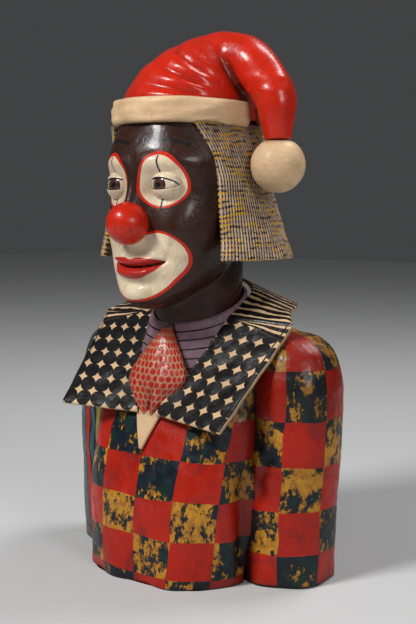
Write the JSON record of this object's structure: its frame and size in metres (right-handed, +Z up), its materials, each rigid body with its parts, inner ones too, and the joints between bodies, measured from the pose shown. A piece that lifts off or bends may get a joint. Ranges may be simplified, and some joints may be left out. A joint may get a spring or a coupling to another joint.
{
  "type": "carved clown bust",
  "caption": "Free-standing carved and painted wooden clown bust with a bent stocking cap, a broad dotted collar and a head that turns on its neck.",
  "frame": {"origin": "on the vertical neck axis, in the plane of the base that the bust stands on", "axes": "+Z up, -Y the way the figure faces, +X towards the figure's own left"},
  "size_m": [0.2466, 0.1741, 0.4168],
  "materials": {
    "jacket_paint": "glossy hand-painted checks over wood",
    "stripe_paint": "glossy hand-painted stripes over wood",
    "collar_paint": "varnished cream paint with black dots and stripes",
    "shirt_paint": "glossy mauve paint with thin dark lines",
    "cravat_paint": "cream paint with red dots",
    "cream_paint": "satin cream paint",
    "skin_paint": "glossy brown paint with clown make-up",
    "eye_paint": "glossy painted eye",
    "red_paint": "glossy red paint",
    "hair_paint": "carved strands in taupe and cream paint",
    "bare_wood": "bare sawn and turned wood",
    "felt": "dark pressed felt",
    "screw_steel": "zinc plated steel"
  },
  "bodies": {
    "bust": {"torso": "jacket_paint", "left_sleeve": "jacket_paint", "right_sleeve": "stripe_paint", "base_board": "bare_wood", "base_screws": "screw_steel", "sleeve_dowels": "bare_wood", "neck_bush": "bare_wood", "neck_felt_ring": "felt", "shirt_collar": "shirt_paint", "cravat": "cravat_paint", "front_tab": "cream_paint", "collar_front_left": "collar_paint", "collar_front_right": "collar_paint", "collar_back": "collar_paint"},
    "head": {"head": "skin_paint", "neck_spindle": "bare_wood", "spindle_washer": "bare_wood", "retaining_pin": "bare_wood", "left_eye": "eye_paint", "right_eye": "eye_paint", "nose_ball": "red_paint", "nose_dowel": "bare_wood", "hair_left": "hair_paint", "hair_right": "hair_paint", "hair_back": "hair_paint", "hat_crown": "red_paint", "hat_tail": "red_paint", "hat_band": "cream_paint", "hat_dowels": "bare_wood", "tail_dowel": "bare_wood", "pompom": "cream_paint", "pompom_dowel": "bare_wood"}
  },
  "joints": [
    {"name": "head_turn", "type": "hinge", "parent": "bust", "child": "head", "pos_m": [0, 0, 0.2], "axis": [0, 0, 1], "range_deg": [-75, 75]}
  ]
}
